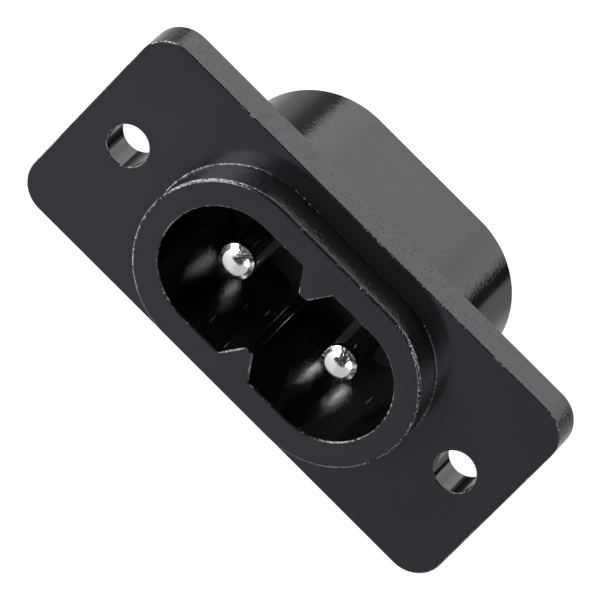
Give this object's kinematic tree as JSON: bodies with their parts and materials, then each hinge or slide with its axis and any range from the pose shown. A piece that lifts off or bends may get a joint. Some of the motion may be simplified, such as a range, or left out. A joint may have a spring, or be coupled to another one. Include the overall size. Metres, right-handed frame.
{
  "type": "figure eight appliance inlet",
  "caption": "Panel-mounted mains inlet with a figure-eight plug cavity, contact pins, solder lugs and a rectangular screw flange.",
  "frame": {"origin": "middle of the flange's rear face, which lies on the front of the panel, midway between the screw holes", "axes": "+X along the flange from screw hole to screw hole, +Y the way the plug goes in, +Z across the flange"},
  "size_m": [0.0342, 0.0232, 0.0148],
  "materials": {
    "housing_plastic": "black moulded thermoplastic, satin faces with fine spark-eroded sides",
    "pin_nickel": "turned brass, bright nickel plated",
    "lug_tin": "brass strip, matt tin plated"
  },
  "bodies": {
    "root": {"housing": "housing_plastic", "contact_pin_left": "pin_nickel", "contact_pin_right": "pin_nickel", "solder_lug_left": "lug_tin", "solder_lug_right": "lug_tin"}
  },
  "joints": []
}
